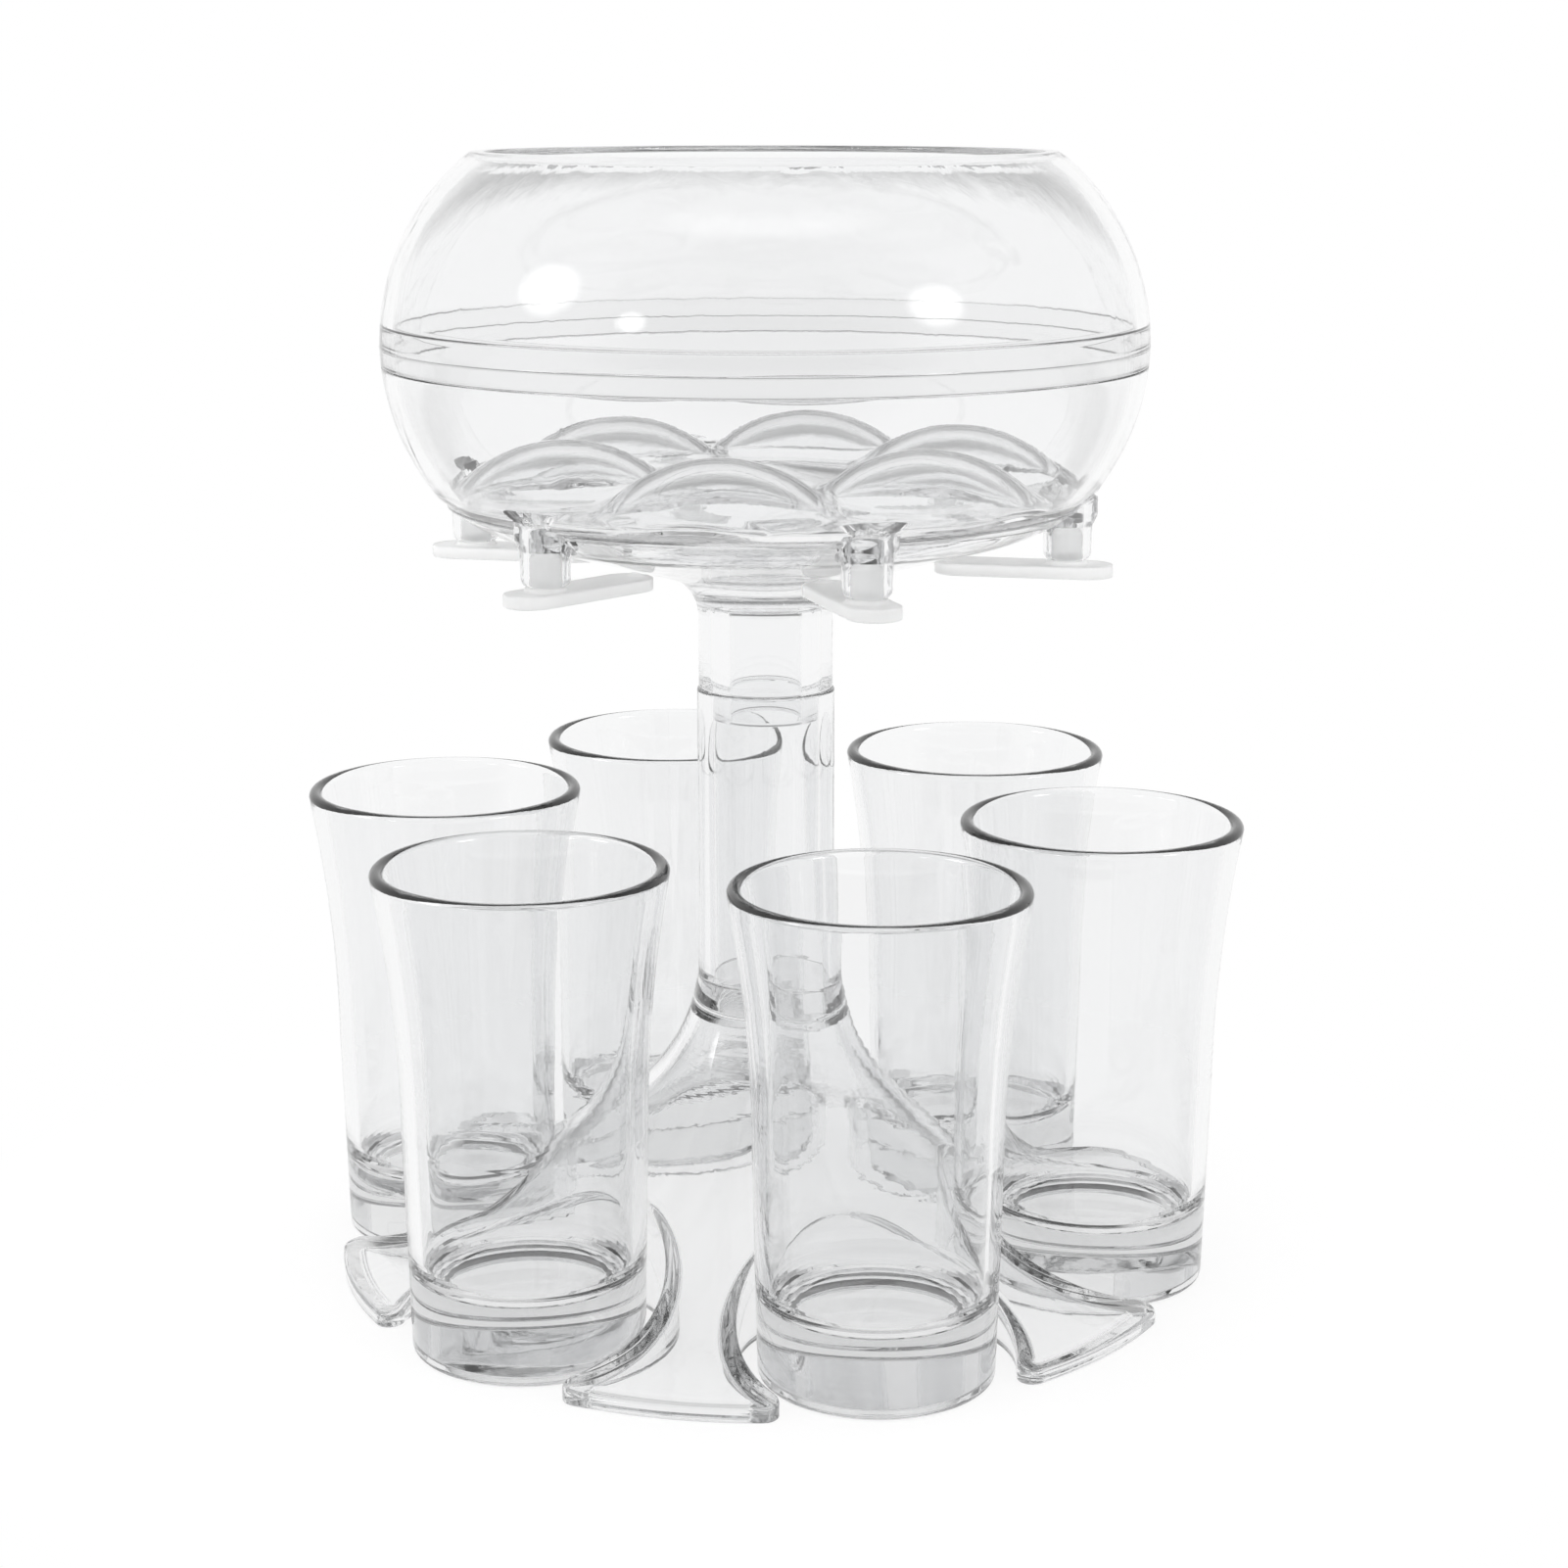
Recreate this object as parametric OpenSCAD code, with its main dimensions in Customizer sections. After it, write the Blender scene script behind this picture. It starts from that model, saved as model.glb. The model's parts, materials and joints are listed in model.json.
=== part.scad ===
// Party shot dispenser: a clear bowl on a stem fills six shot cups at once.
// The bowl's drink runs off a domed floor to six spouts, and each spout is
// held shut by a soft stopper that is pulled down by its tab.
// Origin: centre of the base on the table. +Z is up, cup 1 stands on -Y.

/* [Bowl] */
// Outside diameter of the bowl at its widest line
bowl_d = 132.4; // [131:0.1:136]
// Radius of the arc that the bowl's side follows
side_r = 40.6; // [40:0.1:41]
// Wall of the bowl
bowl_wall = 2.4; // [2:0.1:2.6]
// Height of the open rim above the table
rim_z = 198; // [195:0.5:199]
// Radius of the open mouth inside its rim
mouth_r = 47.6; // [47:0.1:48.5]
// Height of the widest line above the joint in the stem
widest_rise = 60.7; // [60:0.1:61.5]
// Distance from the widest line down to the joint of the two halves
joint_drop = 3.4; // [2.5:0.1:4.5]
// Height of the tongue that stands up behind the upper half's skirt
tongue_h = 6.8; // [5:0.1:8]
// Wall of the tongue at the widest line
tongue_wall = 1.2; // [1:0.1:1.4]

/* [Bowl floor] */
// Depth of the floor's underside below the widest line
floor_drop = 26.9; // [26.5:0.1:27.5]
// How much the floor rises from the ring of domes to its middle
floor_rise = 3.6; // [3:0.1:4]
// Radius of the ring on which the six domes stand
dome_ring_r = 36; // [35.8:0.1:36.2]
// Radius of the sphere that each dome is part of
dome_r = 26; // [25.5:0.1:26.5]
// Height of a dome above the floor
dome_h = 8.6; // [8.4:0.1:8.8]

/* [Spouts] */
// Radius of the ring of spouts
spout_ring_r = 53.1; // [52.8:0.1:53.4]
// Radius of a spout at its root
spout_r = 4.25; // [4:0.05:4.4]
// Radius of a spout at its open end
spout_end_r = 4.05; // [3.9:0.05:4.1]
// Radius of the boss where a spout meets the bowl
boss_r = 5.1; // [4.8:0.1:5.3]
// Radius of the bore through a spout
spout_bore_r = 2.75; // [2.5:0.05:3]
// Depth of a spout's open end below the bowl's widest line
spout_drop = 36.2; // [35:0.1:37]

/* [Stoppers] */
// Thickness of the pull tab
tab_t = 2.2; // [1.8:0.1:2.6]
// Width of the pull tab
tab_w = 9; // [8:0.1:9.5]
// Reach of the tab from its spout towards the stem
tab_in = 23; // [20:0.5:24]
// Reach of the tab from its spout away from the stem
tab_out = 8; // [6:0.5:10]
// Length of the plug inside the spout
plug_h = 6; // [4:0.5:7]

/* [Neck and stem] */
// Height of the joint between neck and stem above the table
stem_top_z = 105; // [103:0.5:106]
// Outside radius of the neck
neck_r = 11.9; // [11.7:0.1:12.1]
// Radius of the fillet where the neck opens into the dish under the bowl
neck_fillet_r = 8; // [7:0.5:9]
// Slope of the dish between neck and edge, in degrees
dish_slope_a = 15.6; // [14:0.2:16]
// Radius of the dish's rounded edge
dish_edge_r = 29.5; // [28:0.5:31]
// Slope that the dish's edge has turned to at its rim, in degrees
dish_rim_a = 40; // [38:1:42]
// Outside radius of the stem tube
stem_r = 12.2; // [12:0.1:12.6]
// Bore of the stem tube
stem_bore_r = 9.45; // [9.2:0.05:9.6]
// Length of the tenon that the neck stands on inside the stem
tenon_h = 5.5; // [4:0.5:8]
// Radius of the blind bore in the neck
neck_bore_r = 6.4; // [6:0.1:7]

/* [Base] */
// Radius of the base at its petals' outer edge
base_r = 77.7; // [77:0.1:79]
// Height of the petals' outer edge
edge_h = 2.5; // [2:0.1:3]
// Radius of the long sweep of the petals' tops
sweep_r = 116.7; // [114:0.1:120]
// Radius of the flare between stem and petals
flare_r = 33; // [31:0.5:34]
// Wall of the base
base_wall = 2.4; // [2:0.1:2.6]
// Radius of each recess that a cup stands in
recess_r = 23.3; // [22.5:0.1:23.6]

/* [Cups] */
// Radius of the ring of cups
cup_ring_r = 60.2; // [60:0.1:60.6]
// Height of a cup
cup_h = 83.9; // [80:0.1:84]
// Radius of a cup at its rim
cup_rim_r = 25; // [24:0.1:25.5]
// Radius of a cup at its foot
cup_foot_r = 19.85; // [19:0.05:20.2]
// Radius of a cup where its side starts to flare
cup_waist_r = 20.7; // [20.5:0.1:21]
// Height where a cup's side starts to flare
cup_waist_z = 38; // [34:0.5:42]
// Wall of a cup
cup_wall = 2.4; // [2:0.1:2.6]
// Thickness of a cup's solid foot
cup_floor_t = 12.5; // [10:0.5:14]

/* [Hidden] */

$fn = 96;
places = 6;
pitch = 360 / places;
clear_plastic = [0.93, 0.95, 0.97, 0.45];
cup_plastic = [0.90, 0.93, 0.96, 0.45];
soft_white = [0.96, 0.96, 0.95, 0.9];
fit_gap = 0.05;             // glued or seated faces of two pieces
tenon_gap = 0.08;           // running clearance of the tenon in the stem
overcut = 1;                // how far a cutter runs past the face it opens

// Bowl
side_x = bowl_d / 2 - side_r;               // centre of the side's arc
widest_z = stem_top_z + widest_rise;
joint_z = widest_z - joint_drop;
tongue_z = joint_z + tongue_h;
rim_round = 0.8;
floor_z = widest_z - floor_drop;            // underside of the bowl's floor
floor_top_z = floor_z + bowl_wall;
dome_z = floor_top_z + dome_h - dome_r;     // centre of the domes' spheres
skirt_bore_r = bowl_d / 2 - bowl_wall + tongue_wall;    // inside the upper half's skirt

// Dish
dish_rim = [side_x + sqrt(pow(side_r, 2) - pow(floor_drop, 2)), floor_z];
dish_edge_c = dish_rim + dish_edge_r * [-sin(dish_rim_a), cos(dish_rim_a)];
dish_disc_z = 127.5;                        // flat inside, over the neck

// Spouts and stoppers
spout_z = widest_z - spout_drop;
spout_round = 1.2;
boss_z = spout_z + 6.5;                     // lower end of the boss
funnel_r = 5;                               // mouth of the funnel over a spout
funnel_h = 1.8;
collar_r = 3.4;
collar_h = 0.7;
tab_top_z = spout_z - collar_h - fit_gap;
pull_bead_r = 1.6;                          // finger bead on the tab's inner end
plug_tip_h = 1;

// Stem and base
socket_z = 52;                              // joint between stem and base
spigot_h = 6;
spigot_r = 11.2;
neck_bore_z = 121.5;                        // blind end of the neck's bore
flare_z = 56;                               // where the flare leaves the stem
hollow_r = base_r - 3.7;                    // reach of the hollow underneath
point_r = 2.6;                              // rounding of the petals' points

// Cups
foot_ring_w = 3;
foot_ring_h = 1;
cup_corner_r = 5;                           // rounding inside above the foot
cup_edge_r = 0.7;

// ---- Helpers ----

// Points along an arc of n chords, angles in degrees
function arc(centre, r, a0, a1, n) =
    [for (i = [0 : n]) centre + r * [cos(a0 + (a1 - a0) * i / n), sin(a0 + (a1 - a0) * i / n)]];

// Where two circles meet, on the left of the line from a to b
function circles_meet(a, ra, b, rb) =
    let (d = norm(b - a), u = (b - a) / d, along = (ra * ra - rb * rb + d * d) / (2 * d))
    a + u * along + sqrt(ra * ra - along * along) * [-u[1], u[0]];

// Centre of the rounding of the petal's point beside a recess on +X
point_c = circles_meet([0, 0], base_r - point_r, [cup_ring_r, 0], recess_r + point_r);

// Angle on the bowl's side arc, drawn in by inset, at height z
function side_angle(z, inset) = asin((z - widest_z) / (side_r - inset));

// The bowl's side between two heights, drawn in by inset
function side(z0, z1, inset, n) =
    arc([side_x, widest_z], side_r - inset, side_angle(z0, inset), side_angle(z1, inset), n);

// Height at which the inner side arc, above the widest line, reaches radius r
function inner_z(r) = widest_z + sqrt(pow(side_r - bowl_wall, 2) - pow(r - side_x, 2));

// Height of the dish's cone at radius r, raised by inset
function dish_z(r, inset) =
    dish_edge_c[1] + (r - dish_edge_c[0]) * tan(dish_slope_a) - (dish_edge_r - inset) / cos(dish_slope_a);

// Places children at place i, r from the axis, with +X pointing outwards
module at_place(i, r, turn = 0) {
    rotate([0, 0, i * pitch - 90 + turn]) translate([r, 0, 0]) children();
}

module at_each_place(r, turn = 0) {
    for (i = [0 : places - 1]) at_place(i, r, turn) children();
}

module revolve(points) rotate_extrude() polygon(points);

// ---- Bowl ----

module bowl_upper() {
    color(clear_plastic) revolve(concat(
        side(joint_z, rim_z - rim_round, 0, 24),
        [[side(rim_z - rim_round, rim_z, 0, 1)[1][0] - rim_round, rim_z], [mouth_r, rim_z]],
        side(inner_z(mouth_r), tongue_z + fit_gap, bowl_wall, 22),
        [[skirt_bore_r, tongue_z + fit_gap], [skirt_bore_r, joint_z]]));
}

// Solid outer form of the lower half, with the tongue
module lower_form() {
    tongue_r = skirt_bore_r - fit_gap;
    revolve(concat(
        [[0, floor_z + floor_rise], [dome_ring_r, floor_z]],
        side(floor_z, joint_z, 0, 16),
        [[tongue_r, joint_z], [tongue_r, tongue_z], [0, tongue_z]]));
}

// Room for the drink inside the lower half
module lower_room() {
    revolve(concat(
        [[0, floor_top_z + floor_rise], [dome_ring_r, floor_top_z]],
        side(floor_top_z, tongue_z + overcut, bowl_wall, 18),
        [[0, tongue_z + overcut]]));
}

// Six domes on a ring, of the given radius
module domes(r) at_each_place(dome_ring_r, pitch / 2) translate([0, 0, dome_z]) sphere(r);

// Outside of one spout, up into the bowl's wall
module spout_form() {
    revolve(concat(
        [[0, spout_z]],
        arc([spout_end_r - spout_round, spout_z + spout_round], spout_round, -90, 0, 5),
        [[spout_r, boss_z], [boss_r, boss_z + 2 * (boss_r - spout_r)],
         [boss_r, floor_top_z + bowl_wall], [0, floor_top_z + bowl_wall]]));
}

// Bore of one spout, with the funnel that leads the drink in
module spout_bore() {
    translate([0, 0, spout_z - overcut])
        cylinder(r = spout_bore_r, h = floor_top_z - spout_z + 2 * overcut);
    translate([0, 0, floor_top_z - funnel_h])
        cylinder(r1 = spout_bore_r, r2 = funnel_r, h = funnel_h);
}

module bowl_lower() {
    color(clear_plastic) difference() {
        union() {
            difference() {
                union() {
                    lower_form();
                    at_each_place(spout_ring_r) spout_form();
                }
                lower_room();
            }
            intersection() {
                domes(dome_r);
                lower_form();
            }
        }
        domes(dome_r - bowl_wall);
        at_each_place(spout_ring_r) spout_bore();
    }
}

// ---- Neck, stem and base ----

// Dish under the bowl's floor, drawn down into the neck and its tenon
module bowl_underside() {
    tenon_r = stem_bore_r - tenon_gap;
    fillet_r = neck_r + neck_fillet_r;
    fillet = [fillet_r, dish_z(fillet_r, 0) - neck_fillet_r / cos(dish_slope_a)];
    inner_edge_r = dish_edge_r - bowl_wall;
    inner_rim_a = asin((floor_z - dish_edge_c[1]) / inner_edge_r);
    disc_r = (dish_disc_z - dish_z(0, bowl_wall)) / tan(dish_slope_a);
    color(clear_plastic) difference() {
        revolve(concat(
            [[neck_bore_r, stem_top_z - tenon_h], [tenon_r, stem_top_z - tenon_h],
             [tenon_r, stem_top_z], [neck_r, stem_top_z]],
            arc(fillet, neck_fillet_r, 180, 90 + dish_slope_a, 10),
            arc(dish_edge_c, dish_edge_r, dish_slope_a - 90, dish_rim_a - 90, 8),
            arc(dish_edge_c, inner_edge_r, inner_rim_a, dish_slope_a - 90, 8),
            [[disc_r, dish_disc_z], [0, dish_disc_z], [0, neck_bore_z], [neck_bore_r, neck_bore_z]]));
        at_each_place(spout_ring_r) translate([0, 0, neck_bore_z])
            cylinder(r = boss_r + fit_gap, h = floor_z - neck_bore_z + overcut);
    }
}

module stem() {
    color(clear_plastic) revolve([
        [stem_bore_r, socket_z - spigot_h], [spigot_r, socket_z - spigot_h],
        [spigot_r, socket_z], [stem_r + 0.1, socket_z],
        [stem_r, stem_top_z - fit_gap], [stem_bore_r, stem_top_z - fit_gap]]);
}

// Curve of the base's top from the stem out to the edge, moved in by inset:
// a flare that leaves the stem upright, and a long sweep that it runs into
function base_curve(inset) =
    let (flare_c = [stem_r + flare_r, flare_z],
         sweep_c = circles_meet(flare_c, sweep_r - flare_r, [base_r, edge_h], sweep_r),
         to_flare = flare_c - sweep_c,
         meet_a = 360 + atan2(to_flare[1], to_flare[0]),
         top_a = 180 + asin((flare_z - socket_z) / (flare_r + inset)),
         end_r = inset > 0 ? hollow_r : base_r,
         end_a = 180 + acos((sweep_c[0] - end_r) / (sweep_r + inset)))
    concat(arc(flare_c, flare_r + inset, top_a, meet_a, 12),
           arc(sweep_c, sweep_r + inset, meet_a, end_a, 12));

// Solid under the base's curve, down to z
module base_form(inset, z) {
    curve = base_curve(inset);
    last = curve[len(curve) - 1];
    revolve(concat(
        [[0, socket_z + (inset > 0 ? overcut : 0)], [curve[0][0], socket_z + (inset > 0 ? overcut : 0)]],
        curve, [[last[0], z], [0, z]]));
}

// Recesses for the cups, of the given radius
module recesses(r) {
    at_each_place(cup_ring_r) translate([0, 0, -overcut])
        cylinder(r = r, h = flare_z);
}

// What rounds off the petal's point beside a recess on +X
module point_cutter() {
    recess_c = [cup_ring_r, 0];
    to_recess = recess_c - point_c;
    sharp = circles_meet([0, 0], base_r, recess_c, recess_r);
    translate([0, 0, -overcut]) linear_extrude(flare_z) polygon(concat(
        arc(point_c, point_r + 2 * fit_gap, atan2(point_c[1], point_c[0]),
            atan2(to_recess[1], to_recess[0]), 8),
        [recess_c + (sharp - recess_c) * 0.8, sharp * 1.05, point_c * 1.1]));
}

module base() {
    color(clear_plastic) difference() {
        base_form(0, 0);
        recesses(recess_r);
        at_each_place(0) for (flip = [0, 1]) mirror([0, flip, 0]) point_cutter();
        difference() {
            base_form(base_wall, -overcut);
            recesses(recess_r + base_wall);
        }
        translate([0, 0, socket_z - spigot_h])
            cylinder(r = spigot_r + fit_gap, h = spigot_h + overcut);
    }
}

// ---- Stoppers and cups ----

module stopper(i) {
    color(soft_white) at_place(i, spout_ring_r) {
        revolve([
            [0, tab_top_z - tab_t / 2], [collar_r, tab_top_z - tab_t / 2],
            [collar_r, spout_z - fit_gap], [spout_bore_r - fit_gap, spout_z - fit_gap],
            [spout_bore_r - fit_gap, spout_z + plug_h - plug_tip_h],
            [spout_bore_r - plug_tip_h, spout_z + plug_h], [0, spout_z + plug_h]]);
        translate([0, 0, tab_top_z - tab_t]) {
            translate([tab_w / 2 - tab_in, -tab_w / 2, 0])
                cube([tab_in + tab_out - tab_w, tab_w, tab_t]);
            for (x = [tab_w / 2 - tab_in, tab_out - tab_w / 2])
                translate([x, 0, 0]) cylinder(r = tab_w / 2, h = tab_t);
            translate([pull_bead_r - tab_in + 0.6, 0, tab_t / 2])
                rotate([90, 0, 0]) cylinder(r = pull_bead_r, h = tab_w / 2, center = true);
        }
    }
}

// Outside of a cup from its foot to its rim, drawn in by inset from height z0
function cup_side(inset, z0, z1, n) =
    let (rise = cup_h - cup_waist_z, out = cup_rim_r - cup_waist_r,
         bend_r = (rise * rise + out * out) / (2 * out),
         slope = (cup_waist_r - cup_foot_r) / cup_waist_z)
    concat(
        [[cup_foot_r + slope * z0 - inset, z0]],
        arc([cup_waist_r + bend_r, cup_waist_z], bend_r + inset, 180,
            180 - asin((z1 - cup_waist_z) / (bend_r + inset)), n));

function reversed(points) = [for (i = [len(points) - 1 : -1 : 0]) points[i]];

module cup(i) {
    rim_r = cup_wall / 2;
    rim_top = cup_h - rim_r;
    outside = cup_side(0, cup_edge_r, rim_top, 14);
    inside = cup_side(cup_wall, cup_floor_t + cup_corner_r, rim_top, 14);
    rim_c = (outside[len(outside) - 1] + inside[len(inside) - 1]) / 2;
    color(cup_plastic) at_place(i, cup_ring_r) revolve(concat(
        [[0, foot_ring_h], [cup_foot_r - foot_ring_w - foot_ring_h, foot_ring_h],
         [cup_foot_r - foot_ring_w, 0], [cup_foot_r - cup_edge_r, 0]],
        outside,
        arc(rim_c, rim_r, 20, 160, 6),
        reversed(inside),
        arc([inside[0][0] - cup_corner_r, cup_floor_t + cup_corner_r], cup_corner_r, -10, -90, 6),
        [[0, cup_floor_t]]));
}

// ---- Assembly ----

base();
stem();
bowl_underside();
bowl_lower();
bowl_upper();
stopper(0);  // stopper_1
stopper(1);  // stopper_2
stopper(2);  // stopper_3
stopper(3);  // stopper_4
stopper(4);  // stopper_5
stopper(5);  // stopper_6
cup(0);  // cup_1
cup(1);  // cup_2
cup(2);  // cup_3
cup(3);  // cup_4
cup(4);  // cup_5
cup(5);  // cup_6
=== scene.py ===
"""Looks of a party shot dispenser: clear bowl and stand, six cups, soft stoppers."""

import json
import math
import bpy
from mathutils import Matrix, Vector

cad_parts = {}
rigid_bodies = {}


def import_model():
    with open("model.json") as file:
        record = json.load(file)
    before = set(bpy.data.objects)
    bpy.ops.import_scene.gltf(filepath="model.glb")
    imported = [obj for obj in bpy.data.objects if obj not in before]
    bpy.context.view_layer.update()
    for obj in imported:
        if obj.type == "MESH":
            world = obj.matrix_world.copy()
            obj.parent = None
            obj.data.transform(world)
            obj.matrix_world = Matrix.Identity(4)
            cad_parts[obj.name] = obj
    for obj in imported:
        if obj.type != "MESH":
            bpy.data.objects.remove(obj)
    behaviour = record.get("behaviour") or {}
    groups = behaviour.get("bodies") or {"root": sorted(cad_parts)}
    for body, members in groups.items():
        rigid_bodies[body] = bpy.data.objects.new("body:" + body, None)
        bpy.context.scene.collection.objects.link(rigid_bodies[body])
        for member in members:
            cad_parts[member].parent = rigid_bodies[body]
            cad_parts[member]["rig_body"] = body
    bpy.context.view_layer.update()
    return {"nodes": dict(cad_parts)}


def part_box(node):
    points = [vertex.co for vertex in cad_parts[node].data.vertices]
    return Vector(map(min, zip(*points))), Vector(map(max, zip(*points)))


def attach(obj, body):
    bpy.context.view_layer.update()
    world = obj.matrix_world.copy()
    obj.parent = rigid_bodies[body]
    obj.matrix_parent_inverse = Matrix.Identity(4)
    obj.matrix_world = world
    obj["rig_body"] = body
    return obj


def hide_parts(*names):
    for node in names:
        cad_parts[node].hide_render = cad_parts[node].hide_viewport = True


bl_info = {
    "name": "Party Shot Dispenser",
    "version": (1, 0, 0),
    "blender": (4, 5, 0),
    "location": "3D View > Sidebar > Dispenser",
    "description": "Dresses the packed dispenser in clear plastic and soft rubber",
    "category": "Object",
}

import bmesh
import bpy
import numpy as np
from bpy.props import FloatProperty, FloatVectorProperty, PointerProperty
from bpy.types import Operator, Panel, PropertyGroup
from mathutils import Matrix, Vector

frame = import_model()

MM = 0.001
PLACES = 6
PITCH = 360 / PLACES
FIRST_PLACE = -90.0  # cup 1 stands on -Y
GLUE_GAP = 0.08 * MM  # between two faces that are glued to each other
BY_WALL = 0.03 * MM  # a face is on a glued wall within this
BY_LEVEL = 0.02 * MM  # and on a glued level within this
ON_AXIS = 1e-7
CREASE = math.radians(38)  # a sharper edge is not shaded smooth
RING_TREE = "Join and cut round a ring"
RUBBER = "cloudy_soft_rubber"

# How many sides stand for a full turn
BOWL_TURN, STEM_TURN, CUP_TURN, SPOUT_TURN, PLUG_TURN = 288, 192, 176, 64, 48

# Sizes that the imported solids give
bowl_low, bowl_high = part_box("bowl_upper")
lower_low, lower_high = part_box("bowl_lower")
dish_low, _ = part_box("bowl_underside")
stem_low, stem_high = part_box("stem")
_, base_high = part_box("base")
cup_low, cup_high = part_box("cup_1")
_, stopper_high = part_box("stopper_1")


def length(name, about, default):
    return FloatProperty(name=name, description=about, default=default, min=0.0,
                         precision=5, subtype="DISTANCE", unit="LENGTH")


def mm(name, about, size):
    return length(name, about, size * MM)


def slope(name, about, degrees):
    return FloatProperty(name=name, description=about, default=math.radians(degrees),
                         subtype="ANGLE", unit="ROTATION")


def colour(name, about, default):
    return FloatVectorProperty(name=name, description=about, default=default, size=3,
                               min=0.0, max=1.0, subtype="COLOR")


class BowlSizes(PropertyGroup):
    widest_z: mm("Widest line", "Height of the bowl's widest line", 165.7)
    side_centre: mm("Side arc centre", "Radius at which the side's arc has its centre", 25.6)
    side_radius: mm("Side arc", "Radius of the arc that the bowl's side follows", 40.6)
    wall: mm("Wall", "Wall of the bowl", 2.4)
    rim_z: length("Rim height", "Height of the open rim", bowl_high.z)
    mouth: mm("Mouth", "Radius of the open mouth", 47.6)
    joint_z: length("Joint height", "Height where the two halves of the bowl meet", bowl_low.z)
    tongue_top: length("Tongue top", "Top of the tongue behind the skirt", lower_high.z)
    skirt_bore: mm("Skirt bore", "Inner radius of the skirt round the tongue", 65.0)
    floor_z: mm("Floor underside", "Height of the underside of the bowl's floor", 138.8)
    floor_rise: mm("Floor rise", "How much the floor rises to its middle", 3.6)
    dome_ring: mm("Dome ring", "Radius of the ring that the domes stand on", 36.0)
    dome_radius: mm("Dome radius", "Radius of the sphere that a dome is part of", 26.0)
    dome_centre_z: mm("Dome centre", "Height of the centre of a dome's sphere", 123.8)
    parting: mm("Parting line", "How far the fine mould line stands out", 0.07)
    dome_blend: mm("Dome blend", "How softly a dome runs into the floor", 2.0)


class SpoutSizes(PropertyGroup):
    ring: mm("Spout ring", "Radius of the ring of spouts", 53.1)
    root: mm("Root radius", "Radius of a spout at its root", 4.25)
    end: mm("End radius", "Radius of a spout at its open end", 4.05)
    boss: mm("Boss radius", "Radius of the boss above a spout", 5.1)
    bore: mm("Bore radius", "Radius of the bore", 2.75)
    end_z: length("Spout end", "Height of a spout's open end", lower_low.z)
    funnel: mm("Funnel radius", "Mouth of the funnel over a bore", 5.0)


class StandSizes(PropertyGroup):
    neck: mm("Neck", "Outer radius of the neck", 11.9)
    neck_fillet: mm("Neck fillet", "Radius where the neck opens into the dish", 8.0)
    dish_slope: slope("Dish slope", "Slope of the dish between neck and edge", 15.6)
    dish_edge: mm("Dish edge", "Radius of the dish's rounded edge", 29.5)
    dish_rim: slope("Dish rim slope", "Slope that the dish's edge has turned to", 40.0)
    dish_disc_z: mm("Dish inside", "Height of the flat inside over the neck", 127.5)
    neck_bore: mm("Neck bore", "Radius of the blind bore in the neck", 6.4)
    neck_bore_z: mm("Bore end", "Height of the blind end of the neck's bore", 121.5)
    tenon: mm("Tenon", "Radius of the tenon inside the stem", 9.37)
    stem: mm("Stem", "Outer radius of the stem", 12.2)
    stem_bore: mm("Stem bore", "Inner radius of the stem", 9.45)
    stem_top: mm("Stem top", "Height of the joint between neck and stem", 105.0)
    socket_z: length("Socket", "Height of the joint between stem and base", base_high.z)
    spigot: mm("Spigot", "Radius of the stem's lower end in the base", 11.2)
    hub_bore: mm("Hub bore", "Radius of the base's bore under the stem", 10.05)
    base: mm("Base", "Radius of the base at its petals' outer edge", 77.7)
    edge: mm("Edge height", "Height of the petals' outer edge", 2.5)
    sweep: mm("Sweep", "Radius of the long sweep of the petals' tops", 116.7)
    flare: mm("Flare", "Radius of the flare round the stem's foot", 33.0)
    flare_z: mm("Flare start", "Height where the flare leaves the stem", 56.0)
    wall: mm("Wall", "Wall of the base", 2.4)
    recess: mm("Recess", "Radius of the recess round a cup", 23.3)
    point: mm("Point rounding", "Rounding of the petals' points, seen from above", 2.6)
    lip: mm("Lip rounding", "Rounding along the petals' upper edges", 0.7)


class CupSizes(PropertyGroup):
    ring: length("Cup ring", "Radius of the ring that the cups stand on",
                 abs(cup_low.y + cup_high.y) / 2)
    height: length("Cup height", "Height of a cup", cup_high.z)
    rim: mm("Rim radius", "Outer radius of a cup at its rim", 25.0)
    foot: mm("Foot radius", "Outer radius of a cup at its foot", 19.85)
    waist: mm("Waist radius", "Outer radius where a cup starts to flare", 20.7)
    waist_z: mm("Waist height", "Height where a cup starts to flare", 38.0)
    wall: mm("Wall", "Wall of a cup", 2.4)
    floor: mm("Foot thickness", "Thickness of a cup's solid foot", 12.5)
    corner: mm("Inner corner", "Rounding inside a cup above its foot", 5.0)


class StopperSizes(PropertyGroup):
    top_z: mm("Tab top", "Height of the pull tab's upper face", 128.75)
    thick: mm("Tab thickness", "Thickness of the pull tab", 2.2)
    width: mm("Tab width", "Width of the pull tab", 9.0)
    reach_in: mm("Inner reach", "Reach of the tab towards the stem", 23.0)
    reach_out: mm("Outer reach", "Reach of the tab away from the stem", 8.0)
    plug_top: length("Plug top", "Height of the plug's upper end", stopper_high.z)
    bead: mm("Pull bead", "Radius of the finger bead at the inner end", 1.6)


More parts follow.
